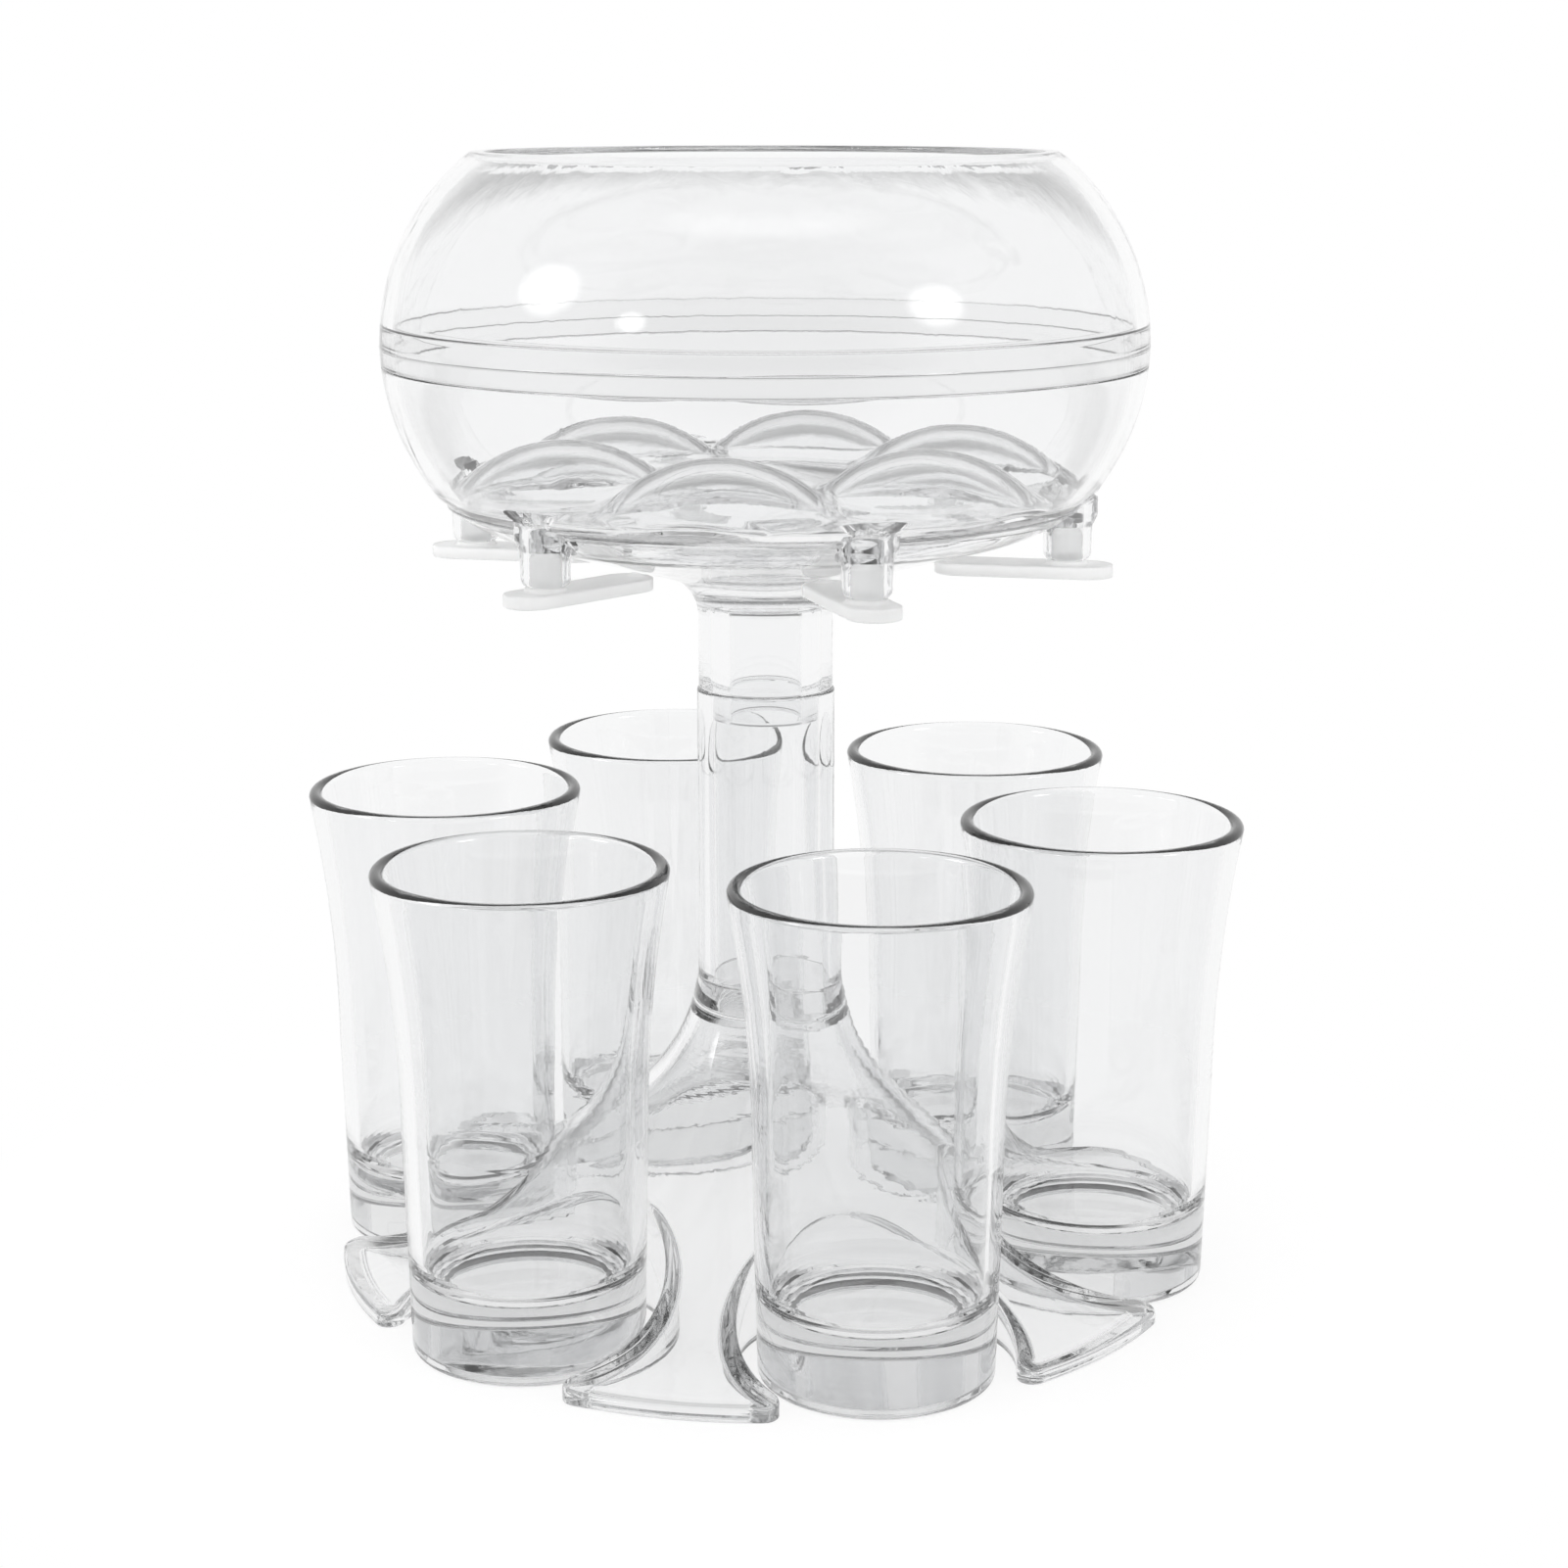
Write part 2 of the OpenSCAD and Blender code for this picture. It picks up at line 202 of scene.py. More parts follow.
class Finishes(PropertyGroup):
    clear_tint: colour("Clear plastic", "Colour of the clear plastic", (0.965, 0.967, 0.97))
    clear_shade: colour("Clear plastic, thick", "Colour of its slightly greyer flow lines",
                        (0.935, 0.938, 0.94))
    clear_depth: colour("Depth colour", "What thick clear plastic lets through",
                        (0.635, 0.638, 0.64))
    bend: FloatProperty(name="Refraction", description="Index of refraction of the plastic",
                        default=1.52, min=1.0, max=2.0)
    rubber: colour("Soft rubber", "Colour of the stoppers", (0.94, 0.942, 0.94))
    rubber_shade: colour("Soft rubber, handled", "Colour where fingers have pulled",
                         (0.89, 0.892, 0.89))


class StageLook(PropertyGroup):
    floor: colour("Floor", "Colour of the floor", (0.90, 0.90, 0.90))
    # Painted contact shadow: the floor is painted this dark right under a foot
    painted_contact_shadow: colour("Contact", "Colour of the floor right under a foot", (0.14, 0.14, 0.14))
    # Painted shade: the dark strip is seen only through two walls and paints the plastic's
    # edges
    strip: FloatProperty(name="Dark strip", description="Brightness of the room above the "
                         "white backdrop, which draws the plastic's edges",
                         default=0.2, min=0.0, max=1.0)
    ceiling: FloatProperty(name="Ceiling", description="Brightness of the ceiling",
                           default=0.95, min=0.0, max=1.0)
    # Seen through a wall, this grey is painted three times as deep, as painted shade
    room: FloatProperty(name="Room", description="Brightness of the room behind the camera",
                        default=0.8, min=0.0, max=1.0)
    lens: FloatProperty(name="Lens", description="Focal length on a 36 mm sensor, in mm",
                        default=67.71, min=10.0, max=300.0)
    distance: mm("Distance", "Distance of the camera from the stem", 514.1)
    height: mm("Height", "Height of the camera above the table", 208.3)
    pitch: slope("Pitch", "How far the camera looks down", 13.268)
    turn: slope("Turn", "Where the camera stands round the object", -17.7)
    pan: slope("Pan", "How far the camera is turned to the right", 0.362)


# ---- Node trees ----


class Value:
    """An output of a node. Sums on it add Math nodes."""

    def __init__(self, tree, socket):
        self.tree, self.socket = tree, socket

    def __add__(self, other):
        return self.tree.maths("ADD", self, other)

    def __sub__(self, other):
        return self.tree.maths("SUBTRACT", self, other)

    def __rsub__(self, other):
        return self.tree.maths("SUBTRACT", other, self)

    def __mul__(self, other):
        return self.tree.maths("MULTIPLY", self, other)

    def out(self, name):
        return Value(self.tree, self.socket.node.outputs[name])

    __radd__ = __add__
    __rmul__ = __mul__


class Tree:
    """A node tree that is filled from nothing."""

    def __init__(self, node_tree):
        self.nodes, self.links = node_tree.nodes, node_tree.links
        self.nodes.clear()

    def node(self, kind, settings=None, sockets=None):
        node = self.nodes.new(kind)
        for name, value in (settings or {}).items():
            if name == "stops":
                ramp = node.color_ramp
                while len(ramp.elements) < len(value):
                    ramp.elements.new(0.5)
                for element, (place, level) in zip(ramp.elements, value):
                    element.position, element.color = place, (level, level, level, 1)
            else:
                setattr(node, name, value)
        for key, value in (sockets or {}).items():
            for one in value if isinstance(value, list) else [value]:
                if isinstance(one, Value):
                    self.links.new(one.socket, node.inputs[key])
                else:
                    node.inputs[key].default_value = one
        shown = [s for s in node.outputs if s.enabled]
        return Value(self, shown[0]) if shown else None

    def maths(self, operation, a, b):
        return self.node("ShaderNodeMath", {"operation": operation}, {0: a, 1: b})


def opaque(rgb):
    return (*rgb, 1.0)


def noise(tree, place, scale, stretch=(1, 1, 1), detail=3.0, distortion=0.0):
    """Noise at a number of waves a metre, stretched along the piece's own axes."""
    mapped = tree.node("ShaderNodeMapping", None, {"Vector": place, "Scale": stretch})
    return tree.node("ShaderNodeTexNoise", None, {
        "Vector": mapped, "Scale": scale, "Detail": detail, "Distortion": distortion})


def ramp(tree, source, *stops):
    return tree.node("ShaderNodeValToRGB", {"stops": stops}, {0: source})


def blend(tree, factor, a, b):
    return tree.node("ShaderNodeMix", {"data_type": "RGBA"}, {0: factor, 6: a, 7: b})


def clear_plastic(name, look, polish, flow, depth):
    """Moulded clear plastic. Its flow lines bend what shows through it a little, hands
    leave a faint haze, and where it is thick it turns grey."""
    mat = bpy.data.materials.new(name)
    mat.use_nodes = True
    tree = Tree(mat.node_tree)
    place = tree.node("ShaderNodeTexCoord").out("Object")
    streaks = noise(tree, place, 90, (1, 1, 0.12), 4.0, 0.6)
    cloud = noise(tree, place, 38, (1, 1, 0.6))
    haze = ramp(tree, noise(tree, place, 130, detail=5.0), (0.52, 0.0), (0.78, 1.0))
    scuffs = ramp(tree, noise(tree, place, 900, (1, 0.1, 1), 2.0), (0.66, 0.0), (0.74, 1.0))
    tint = blend(tree, cloud * 0.7, opaque(look.clear_tint), opaque(look.clear_shade))
    bump = tree.node("ShaderNodeBump", None, {
        "Strength": flow, "Distance": 0.4 * MM, "Height": streaks + cloud * 0.8})
    plastic = tree.node("ShaderNodeBsdfPrincipled", None, {
        "Base Color": tint,
        "Roughness": haze * 0.02 + scuffs * 0.05 + polish,
        "IOR": look.bend,
        "Transmission Weight": 1.0,
        "Normal": bump})
    straight = tree.node("ShaderNodeBsdfTransparent", None, {
        "Color": (0.97, 0.97, 0.97, 1.0)})
    lamp_ray = tree.node("ShaderNodeLightPath").out("Is Shadow Ray")
    glued = tree.node("ShaderNodeAttribute", {"attribute_name": "glued"}).out("Fac")
    surface = tree.node("ShaderNodeMixShader", None, {
        0: tree.maths("MAXIMUM", lamp_ray, glued), 1: plastic, 2: straight})
    inside = tree.node("ShaderNodeVolumeAbsorption", None, {
        "Color": opaque(look.clear_depth), "Density": depth})
    tree.node("ShaderNodeOutputMaterial", None, {"Surface": surface, "Volume": inside})
    return mat


def soft_rubber(look):
    """Cloudy soft rubber that lets light through, a little greyer where it is handled."""
    mat = bpy.data.materials.new(RUBBER)
    mat.use_nodes = True
    tree = Tree(mat.node_tree)
    place = tree.node("ShaderNodeTexCoord").out("Object")
    cloud = noise(tree, place, 260)
    grain = noise(tree, place, 4200, detail=2.0)
    handled = ramp(tree, noise(tree, place, 120, detail=4.0), (0.45, 0.0), (0.7, 1.0))
    tint = blend(tree, handled * 0.6 + cloud * 0.3, opaque(look.rubber),
                 opaque(look.rubber_shade))
    bump = tree.node("ShaderNodeBump", None, {
        "Strength": 0.15, "Distance": 0.05 * MM, "Height": grain})
    rubber = tree.node("ShaderNodeBsdfPrincipled", None, {
        "Base Color": tint,
        "Roughness": cloud * 0.15 + handled * 0.1 + 0.3,
        "IOR": 1.41,
        "Transmission Weight": 0.6,
        "Normal": bump})
    lamp_light = tree.node("ShaderNodeBsdfTransparent", None, {"Color": (0.8, 0.8, 0.8, 1.0)})
    surface = tree.node("ShaderNodeMixShader", None, {
        0: tree.node("ShaderNodeLightPath").out("Is Shadow Ray"), 1: rubber, 2: lamp_light})
    tree.node("ShaderNodeOutputMaterial", None, {"Surface": surface})
    return mat


def looks(context):
    """The materials, made once."""
    mats, look = bpy.data.materials, context.scene.finishes
    if RUBBER not in mats:
        for part, polish, flow, depth in (("bowl", 0.012, 0.10, 4.0),
                                          ("stand", 0.02, 0.16, 14.0),
                                          ("cup", 0.01, 0.07, 14.0)):
            clear_plastic(f"clear_{part}_plastic", look, polish, flow, depth)
        soft_rubber(look)
    clear = {f"{part}_plastic": mats[f"clear_{part}_plastic"]
             for part in ("bowl", "stand", "cup")}
    return {**clear, "soft_white": mats[RUBBER]}


# ---- Outlines and meshes ----


def arc(centre, radius, start, end, steps):
    """Points along an arc, angles in degrees."""
    angles = np.radians(np.linspace(start, end, steps + 1))
    return [(centre[0] + radius * math.cos(a), centre[1] + radius * math.sin(a))
            for a in angles]


def rounded(corners, steps=4):
    """An outline through corners (r, z, rounding), with each corner rounded."""
    points = []
    count = len(corners)
    for i, (r, z, radius) in enumerate(corners):
        here = Vector((r, z))
        if radius <= 0:
            points.append(here)
            continue
        before = (Vector(corners[i - 1][:2]) - here).normalized()
        after = (Vector(corners[(i + 1) % count][:2]) - here).normalized()
        half = before.angle(after) / 2
        centre = here + (before + after).normalized() * (radius / math.sin(half))
        reach = radius / math.tan(half)
        first, last = here + before * reach - centre, here + after * reach - centre
        start = math.atan2(first.y, first.x)
        sweep = math.remainder(math.atan2(last.y, last.x) - start, 2 * math.pi)
        for step in range(steps + 1):
            a = start + sweep * step / steps
            points.append(centre + radius * Vector((math.cos(a), math.sin(a))))
    return points


def filled(outline, longest=2.0 * MM, near=0.12 * MM, closed=True):
    """The outline with points added: close to both ends of each long run, so that a
    corner's shading stays at the corner, and along it."""
    made = []
    count = len(outline)
    for i in range(count):
        a = Vector(outline[i])
        made.append(a)
        if not closed and i == count - 1:
            break
        b = Vector(outline[(i + 1) % count])
        run = (b - a).length
        if a.x < ON_AXIS and b.x < ON_AXIS:
            continue
        if run > 6 * near:
            inner = max(1, math.ceil((run - 2 * near) / longest))
            for k in range(inner + 1):
                made.append(a.lerp(b, (near + (run - 2 * near) * k / inner) / run))
    return made


def shade_smooth(mesh):
    mesh.polygons.foreach_set("use_smooth", [True] * len(mesh.polygons))


def finished(mesh, doubles, slivers, outwards):
    """The mesh with points merged and faces dropped below these sizes, its faces turned
    outwards if that is asked, and smooth between its creases."""
    work = bmesh.new()
    work.from_mesh(mesh)
    bmesh.ops.remove_doubles(work, verts=work.verts, dist=doubles)
    bmesh.ops.dissolve_degenerate(work, edges=work.edges, dist=slivers)
    if outwards:
        bmesh.ops.recalc_face_normals(work, faces=work.faces)
    work.to_mesh(mesh)
    work.free()
    shade_smooth(mesh)
    mesh.set_sharp_from_angle(angle=CREASE)
    return mesh


def mesh_from(name, points, faces):
    mesh = bpy.data.meshes.new(name)
    mesh.from_pydata([tuple(p) for p in points], [], faces)
    return finished(mesh, 0.002 * MM, 0.0005 * MM, True)


def band(a, b, segments):
    """Faces between two rings of points, which begin at points a and b."""
    turn = [(k, (k + 1) % segments) for k in range(segments)]
    return [(a + k, a + m, b + m, b + k) for k, m in turn]


def mark_glued(mesh, *zones):
    """Marks the faces that are glued to a neighbour, so that light passes them straight.
    A zone is a range of radii and of heights."""
    count = len(mesh.polygons)
    middle = np.empty(count * 3)
    mesh.polygons.foreach_get("center", middle)
    x, y, z = middle.reshape(-1, 3).T
    r, glued = np.hypot(x, y), np.zeros(count, bool)
    for r0, r1, z0, z1 in zones:
        glued |= (r > r0) & (r < r1) & (z > z0) & (z < z1)
    mesh.attributes.new("glued", "FLOAT", "FACE").data.foreach_set("value", glued * 1.0)


def turned(name, outline, segments, centre=(0.0, 0.0), lift=None):
    """A mesh turned from a closed outline of (r, z) points about an upright axis. lift may
    raise the points, given x, y and z."""
    outline = np.array([tuple(p) for p in outline], float)
    angles = np.linspace(0, 2 * math.pi, segments, endpoint=False)
    x = np.outer(outline[:, 0], np.cos(angles))
    y = np.outer(outline[:, 0], np.sin(angles))
    z = np.repeat(outline[:, 1:2], segments, axis=1)
    if lift:
        z = lift(x, y, z)
    points = np.stack([x + centre[0], y + centre[1], z], axis=-1).reshape(-1, 3)
    faces = []
    for i in range(len(outline)):
        after = (i + 1) % len(outline)
        if max(outline[i, 0], outline[after, 0]) >= ON_AXIS:
            faces += band(i * segments, after * segments, segments)
    return mesh_from(name, points, faces)


def placed(context, name, mesh, node, slot):
    """One finished piece: it stands for its node, rides on the node's body and has its
    material."""
    piece = bpy.data.objects.new(name, mesh)
    context.scene.collection.objects.link(piece)
    mesh.materials.clear()
    mesh.materials.append(looks(context)[slot])
    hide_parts(node)
    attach(piece, frame["nodes"][node]["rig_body"])


def ring_tree():
    """Geometry nodes that join a form to the body at each place on a ring, and then cut
    another form out of it there."""
    group = bpy.data.node_groups.new(RING_TREE, "GeometryNodeTree")
    face = group.interface
    for kind, name in (("Geometry", "Geometry"), ("Int", "Places"), ("Float", "Ring radius"),
                       ("Float", "First angle"), ("Object", "Joined"), ("Object", "Cut"),
                       ("Material", "Material")):
        face.new_socket(name, in_out="INPUT", socket_type="NodeSocket" + kind)
    face.new_socket("Geometry", in_out="OUTPUT", socket_type="NodeSocketGeometry")
    tree = Tree(group)
    given = tree.node("NodeGroupInput")
    ring = tree.node("GeometryNodeMeshCircle", None, {
        "Vertices": given.out("Places"), "Radius": given.out("Ring radius")})
    turn = tree.node("ShaderNodeCombineXYZ", None, {"Z": given.out("First angle")})
    ring = tree.node("GeometryNodeTransform", None, {"Geometry": ring, "Rotation": turn})

    def copies(form):
        shape = tree.node("GeometryNodeObjectInfo", {"transform_space": "ORIGINAL"},
                          {"Object": given.out(form)}).out("Geometry")
        spread = tree.node("GeometryNodeInstanceOnPoints", None,
                           {"Points": ring, "Instance": shape})
        return tree.node("GeometryNodeRealizeInstances", None, {"Geometry": spread})

    joined = tree.node("GeometryNodeMeshBoolean",
                       {"operation": "UNION", "solver": "MANIFOLD"},
                       {"Mesh 2": [given.out("Geometry"), copies("Joined")]})
    cut = tree.node("GeometryNodeMeshBoolean",
                    {"operation": "DIFFERENCE", "solver": "MANIFOLD"},
                    {"Mesh 1": joined, "Mesh 2": [copies("Cut")]})
    real = tree.node("GeometryNodeRealizeInstances", None, {"Geometry": cut})
    done = tree.node("GeometryNodeSetMaterial", None, {
        "Geometry": real, "Material": given.out("Material")})
    tree.node("NodeGroupOutput", None, {"Geometry": done})
    return group


def join_and_cut(context, name, mesh, ring, joined, cut, material):
    """The mesh with forms joined and cut at each place, as one plain mesh."""
    scene = context.scene.collection.objects
    work = bpy.data.objects.new(name + "_work", mesh)
    forms = {key: bpy.data.objects.new(f"{name}_{key}", form)
             for key, form in (("Joined", joined), ("Cut", cut)) if form}
    for o in (work, *forms.values()):
        scene.link(o)
    tree = bpy.data.node_groups.get(RING_TREE) or ring_tree()
    nodes = work.modifiers.new("Round the ring", "NODES")
    nodes.node_group = tree
    given = {"Places": PLACES, "Ring radius": ring, "First angle": math.radians(FIRST_PLACE),
             "Material": material, **forms}
    for socket in tree.interface.items_tree:
        if socket.in_out == "INPUT" and socket.name in given:
            nodes[socket.identifier] = given[socket.name]
    shown = work.evaluated_get(context.evaluated_depsgraph_get())
    result = bpy.data.meshes.new_from_object(shown)
    work.modifiers.remove(nodes)
    for o in (work, *forms.values()):
        bpy.data.objects.remove(o)
    result.name = name
    return finished(result, 0.004 * MM, 0.002 * MM, False)


# ---- Bowl ----


def side_angle(size, z, inset):
    return math.degrees(math.asin((z - size.widest_z) / (size.side_radius - inset)))


def bowl_side(size, z0, z1, inset, steps):
    """The bowl's side between two heights, drawn in by inset."""
    return arc((size.side_centre, size.widest_z), size.side_radius - inset,
               side_angle(size, z0, inset), side_angle(size, z1, inset), steps)


def plain(points):
    return [(r, z, 0.0) for r, z in points]


def soft_higher(a, b, blend_over):
    """The higher of two heights, run together over a short step."""
    near = np.clip(0.5 + (a - b) / (2 * blend_over), 0, 1)
    return b + (a - b) * near + blend_over * near * (1 - near)


def rim_in(size):
    """Inner radius of the dish's rim where it is glued to the bowl."""
    return size.side_centre + math.sqrt(size.side_radius ** 2
                                        - (size.widest_z - size.floor_z) ** 2) - 4 * MM


def over_domes(size, drop, blend_over):
    """Raises a floor's points over six domes on a ring."""
    radius = size.dome_radius - drop
    angles = [math.radians(FIRST_PLACE + PITCH * (i + 0.5)) for i in range(PLACES)]

    def lift(x, y, z):
        inside = (np.hypot(x, y) < size.dome_ring + size.dome_radius)
        for a in angles:
            cx, cy = size.dome_ring * math.cos(a), size.dome_ring * math.sin(a)
            away = (x - cx) ** 2 + (y - cy) ** 2
            ball = size.dome_centre_z + np.sqrt(np.maximum(radius ** 2 - away, 1e-9))
            ball = np.where(away < radius ** 2, ball, z - 5 * MM)
            use = inside & (z < size.dome_centre_z + 30 * MM) & (ball > z - 2 * blend_over)
            z = np.where(use, soft_higher(ball, z, blend_over), z)
        return z

    return lift


class SHOTS_OT_upper_bowl(Operator):
    """Turns the upper half of the bowl with its open mouth."""
    bl_idname = "shots.upper_bowl"
    bl_label = "Upper bowl"

    def execute(self, context):
        s = context.scene.bowl_sizes
        half_line, rim_round, soft, crisp = 0.2 * MM, 0.5 * MM, 0.3 * MM, 0.15 * MM
        joint, step = s.joint_z + GLUE_GAP, s.tongue_top + GLUE_GAP
        under_rim = s.rim_z - 1.0 * MM
        outer = (bowl_side(s, joint, s.widest_z - half_line, 0, 8)
                 + [(s.side_centre + s.side_radius + s.parting, s.widest_z)]
                 + bowl_side(s, s.widest_z + half_line, under_rim, 0, 50))
        inner_top = s.widest_z + math.sqrt((s.side_radius - s.wall) ** 2
                                           - (s.mouth - s.side_centre) ** 2)
        inner = bowl_side(s, inner_top, step, s.wall, 46)
        rim_out = bowl_side(s, under_rim, s.rim_z, 0, 1)[1][0] - 0.2 * MM
        corners = ([(*outer[0], soft)] + plain(outer[1:])
                   + [(rim_out, s.rim_z, rim_round), (s.mouth, s.rim_z, rim_round),
                      (*inner[0], soft)] + plain(inner[1:-1])
                   + [(*inner[-1], crisp), (s.skirt_bore, step, 0.1 * MM),
                      (s.skirt_bore, joint, crisp)])
        mesh = turned("upper_bowl", filled(rounded(corners)), BOWL_TURN)
        mark_glued(mesh, (s.skirt_bore - BY_WALL, s.skirt_bore + BY_WALL, s.joint_z, step))
        placed(context, "upper_bowl", mesh, "bowl_upper", "bowl_plastic")
        return {"FINISHED"}


class SHOTS_OT_lower_bowl(Operator):
    """Makes the lower half of the bowl: domed floor, tongue and six spouts."""
    bl_idname = "shots.lower_bowl"
    bl_label = "Lower bowl"

    def execute(self, context):
        s, p = context.scene.bowl_sizes, context.scene.spout_sizes
        crisp, steps, spout_run = 0.15 * MM, 74, 1.6 * MM
        floor_top = s.floor_z + s.wall
        outer = bowl_side(s, s.floor_z, s.joint_z, 0, 30)
        tongue_out = s.skirt_bore - 0.05 * MM
        inner = bowl_side(s, s.tongue_top, floor_top, s.wall, 32)
        corners = ([(*outer[0], 0.3 * MM)] + plain(outer[1:-1])
                   + [(*outer[-1], crisp), (tongue_out, s.joint_z, 0.1 * MM),
                      (tongue_out, s.tongue_top, crisp), (*inner[0], crisp)]
                   + plain(inner[1:-1]) + [(*inner[-1], 1.2 * MM)])
        side = filled(rounded(corners), near=0.16 * MM)

        def rise(r):
            return s.floor_rise * max(0.0, 1 - r / s.dome_ring)

        reach = inner[-1][0] - 1.5 * MM
        top = [(r, floor_top + rise(r)) for r in np.linspace(reach, 0, steps + 1)]
        reach = outer[0][0] - 0.5 * MM
        under = [(r, s.floor_z + rise(r)) for r in np.linspace(0, reach, steps + 1)]
        raise_top = over_domes(s, 0.0, s.dome_blend)
        raise_under = over_domes(s, s.wall, s.dome_blend * 0.6)

        def lift(x, y, z):
            n = len(z) - len(under)  # the rings above the floor and round the side
            upper = raise_top(x[:n], y[:n], z[:n])
            return np.concatenate([np.where(z[:n] < floor_top + 4 * MM, upper, z[:n]),
                                   raise_under(x[n:], y[n:], z[n:])])

        mesh = turned("lower_bowl", side + top + under, BOWL_TURN, lift=lift)
        boss_z = p.end_z + 6.5 * MM
        deep = floor_top - 0.9 * MM
        form = [(0, p.end_z, 0), (p.end, p.end_z, 1.2 * MM),
                (p.root, boss_z - 0.6 * MM, 0.6 * MM),
                (p.boss, boss_z + 1.2 * MM, 0.8 * MM), (p.boss, deep, 0), (0, deep, 0)]
        joined = turned("spout", filled(rounded(form), spout_run), SPOUT_TURN)
        bore = [(0, p.end_z - 1 * MM, 0), (p.bore, p.end_z - 1 * MM, 0),
                (p.bore, floor_top - 1.8 * MM, 1.5 * MM), (p.funnel, floor_top + 0.02 * MM, 0),
                (p.funnel + 1.2 * MM, floor_top + 1 * MM, 0), (0, floor_top + 1 * MM, 0)]
        cut = turned("bore", filled(rounded(bore), spout_run), SPOUT_TURN)
        mesh = join_and_cut(context, "lower_bowl", mesh, p.ring, joined, cut,
                            looks(context)["bowl_plastic"])
        mark_glued(mesh, (rim_in(s), outer[0][0] - 0.2 * MM, s.floor_z - BY_LEVEL,
                          s.floor_z + BY_LEVEL),
                   (tongue_out - BY_WALL, tongue_out + BY_WALL, s.joint_z, s.tongue_top))
        placed(context, "lower_bowl", mesh, "bowl_lower", "bowl_plastic")
        return {"FINISHED"}


class SHOTS_OT_dish(Operator):
    """Turns the dish under the bowl with its neck and tenon."""
    bl_idname = "shots.dish"
    bl_label = "Dish and neck"

    def execute(self, context):
        s, t = context.scene.bowl_sizes, context.scene.stand_sizes
        p = context.scene.spout_sizes
        neck_z, rim_z = t.stem_top + GLUE_GAP, s.floor_z - GLUE_GAP
        rim_r = s.side_centre + math.sqrt(s.side_radius ** 2 - (s.widest_z - s.floor_z) ** 2)
        centre = (rim_r - t.dish_edge * math.sin(t.dish_rim),
                  s.floor_z + t.dish_edge * math.cos(t.dish_rim))
        lean = math.degrees(t.dish_slope)

        def cone(r, inset):
            return (centre[1] + (r - centre[0]) * math.tan(t.dish_slope)
                    - (t.dish_edge - inset) / math.cos(t.dish_slope))

        def rim_angle(inset):
            return math.degrees(math.asin((rim_z - centre[1]) / (t.dish_edge - inset)))

        fillet_r = t.neck + t.neck_fillet
        fillet_z = cone(fillet_r, 0) - t.neck_fillet / math.cos(t.dish_slope)
        fillet = arc((fillet_r, fillet_z), t.neck_fillet, 180, 90 + lean, 16)
        outer = arc(centre, t.dish_edge, lean - 90, rim_angle(0), 20)
        inner = arc(centre, t.dish_edge - s.wall, rim_angle(s.wall), lean - 90, 16)
        disc_r = (t.dish_disc_z - cone(0, s.wall)) / math.tan(t.dish_slope)
        corners = ([(t.neck_bore, dish_low.z, 0.4 * MM), (t.tenon, dish_low.z, 0.8 * MM),
                    (t.tenon, neck_z, 0.2 * MM), (t.neck, neck_z, 0.4 * MM)]
                   + plain(fillet) + plain(outer[:-1])
                   + [(*outer[-1], 0.25 * MM), (*inner[0], 0.25 * MM)] + plain(inner[1:])
                   + [(disc_r, t.dish_disc_z, 2.0 * MM), (0, t.dish_disc_z, 0),
                      (0, t.neck_bore_z, 0), (t.neck_bore, t.neck_bore_z, 1.5 * MM)])
        mesh = turned("bowl_dish", filled(rounded(corners)), BOWL_TURN)
        notch_r, notch_top = p.boss + 0.1 * MM, s.floor_z + 1 * MM
        notch = turned("notch", filled([(0, t.neck_bore_z), (notch_r, t.neck_bore_z),
                                        (notch_r, notch_top), (0, notch_top)]), SPOUT_TURN)
        mesh = join_and_cut(context, "bowl_dish", mesh, p.ring, None, notch,
                            looks(context)["bowl_plastic"])
        mark_glued(mesh, (rim_in(s), rim_r - 0.2 * MM, rim_z - BY_LEVEL, rim_z + BY_LEVEL))
        placed(context, "bowl_dish", mesh, "bowl_underside", "bowl_plastic")
        return {"FINISHED"}


# ---- Stem and base ----


class SHOTS_OT_stem(Operator):
    """Turns the stem tube with the spigot that plugs into the base."""
    bl_idname = "shots.stem"
    bl_label = "Stem"

    def execute(self, context):
        t = context.scene.stand_sizes
        top, foot, shoulder = stem_high.z, stem_low.z, t.socket_z + GLUE_GAP
        corners = [(t.stem_bore, foot, 0.2 * MM), (t.spigot, foot, 0.2 * MM),
                   (t.spigot, shoulder, 0.15 * MM), (t.stem + 0.1 * MM, shoulder, 0.3 * MM),
                   (t.stem, top, 0.4 * MM), (t.stem_bore, top, 0.4 * MM)]
        mesh = turned("stem_tube", filled(rounded(corners), 3.0 * MM), STEM_TURN)
        mark_glued(mesh, (t.spigot - 0.22 * MM, t.spigot + BY_WALL, foot, top - 1 * MM),
                   (t.hub_bore, t.spigot, foot - BY_LEVEL, foot + BY_LEVEL),
                   (t.spigot, t.stem - 0.2 * MM, t.socket_z, t.socket_z + 0.1 * MM))
        placed(context, "stem_tube", mesh, "stem", "stand_plastic")
        return {"FINISHED"}


def circles_meet(a, ra, b, rb):
    """Where two circles meet, on the left of the line from a to b."""
    a, b = Vector(a), Vector(b)
    d = (b - a).length
    u = (b - a) / d
    along = (ra * ra - rb * rb + d * d) / (2 * d)
    return a + u * along + Vector((-u.y, u.x)) * math.sqrt(ra * ra - along * along)


